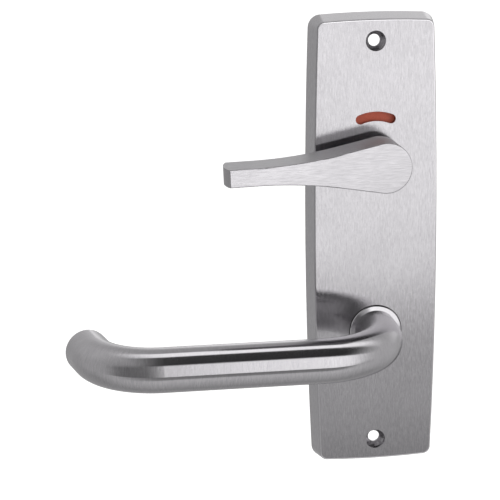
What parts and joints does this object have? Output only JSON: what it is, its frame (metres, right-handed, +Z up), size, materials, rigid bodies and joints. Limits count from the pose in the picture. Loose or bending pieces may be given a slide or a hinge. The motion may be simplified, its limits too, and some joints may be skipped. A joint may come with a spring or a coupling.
{
  "type": "privacy lever set",
  "caption": "Round return-to-door lever and deep tapering privacy turn on a long, slim satin plate with an arc-shaped indicator window.",
  "frame": {"origin": "centre of the plate on its back plane, which lies flat on the door", "axes": "+Y goes into the door, +Z up along the plate, +X to the right seen from the room; the lever and the turn point to -X at rest"},
  "size_m": [0.1667, 0.0889, 0.203],
  "materials": {
    "satin_steel": "satin stainless steel, finely brushed",
    "bright_steel": "smoothly turned, nearly polished",
    "zinc_plated_steel": "zinc plated, dull",
    "spring_steel": "hard drawn, dull grey",
    "blackened_steel": "blackened",
    "bush_plastic": "smooth moulded",
    "red_paint": "flat brick red",
    "green_paint": "flat green"
  },
  "bodies": {
    "plate": {"face_plate": "satin_steel", "backing_plate": "zinc_plated_steel", "backing_plate_screws": "zinc_plated_steel", "lever_bush": "bush_plastic", "spring_housing": "zinc_plated_steel", "housing_screws": "zinc_plated_steel", "return_spring": "spring_steel", "turn_bush": "bush_plastic", "detent_spring": "spring_steel", "detent_posts": "zinc_plated_steel", "stop_pins": "zinc_plated_steel"},
    "lever": {"lever_handle": "satin_steel", "lever_end_cap": "satin_steel", "lever_collar": "bright_steel", "lever_hub": "zinc_plated_steel", "lever_grub_screw": "blackened_steel", "lever_spindle": "zinc_plated_steel", "lever_washer": "zinc_plated_steel", "lever_circlip": "blackened_steel", "spring_driver": "zinc_plated_steel"},
    "turn": {"turn_lever": "satin_steel", "turn_spindle": "zinc_plated_steel", "turn_grub_screw": "blackened_steel", "indicator_disc": "zinc_plated_steel", "red_indicator": "red_paint", "green_indicator": "green_paint", "detent_cam": "zinc_plated_steel", "turn_circlip": "blackened_steel", "turn_washer": "zinc_plated_steel"}
  },
  "joints": [
    {"name": "lever_hinge", "type": "hinge", "parent": "plate", "child": "lever", "pos_m": [0, 0, -0.0385], "axis": [0, -1, 0], "range_deg": [0, 45], "stiffness_Nm_per_rad": 1.15, "springref_deg": -29.79, "deforming": ["return_spring"]},
    {"name": "turn_hinge", "type": "hinge", "parent": "plate", "child": "turn", "pos_m": [0, 0, 0.0395], "axis": [0, -1, 0], "range_deg": [0, 90], "deforming": ["detent_spring"]}
  ]
}
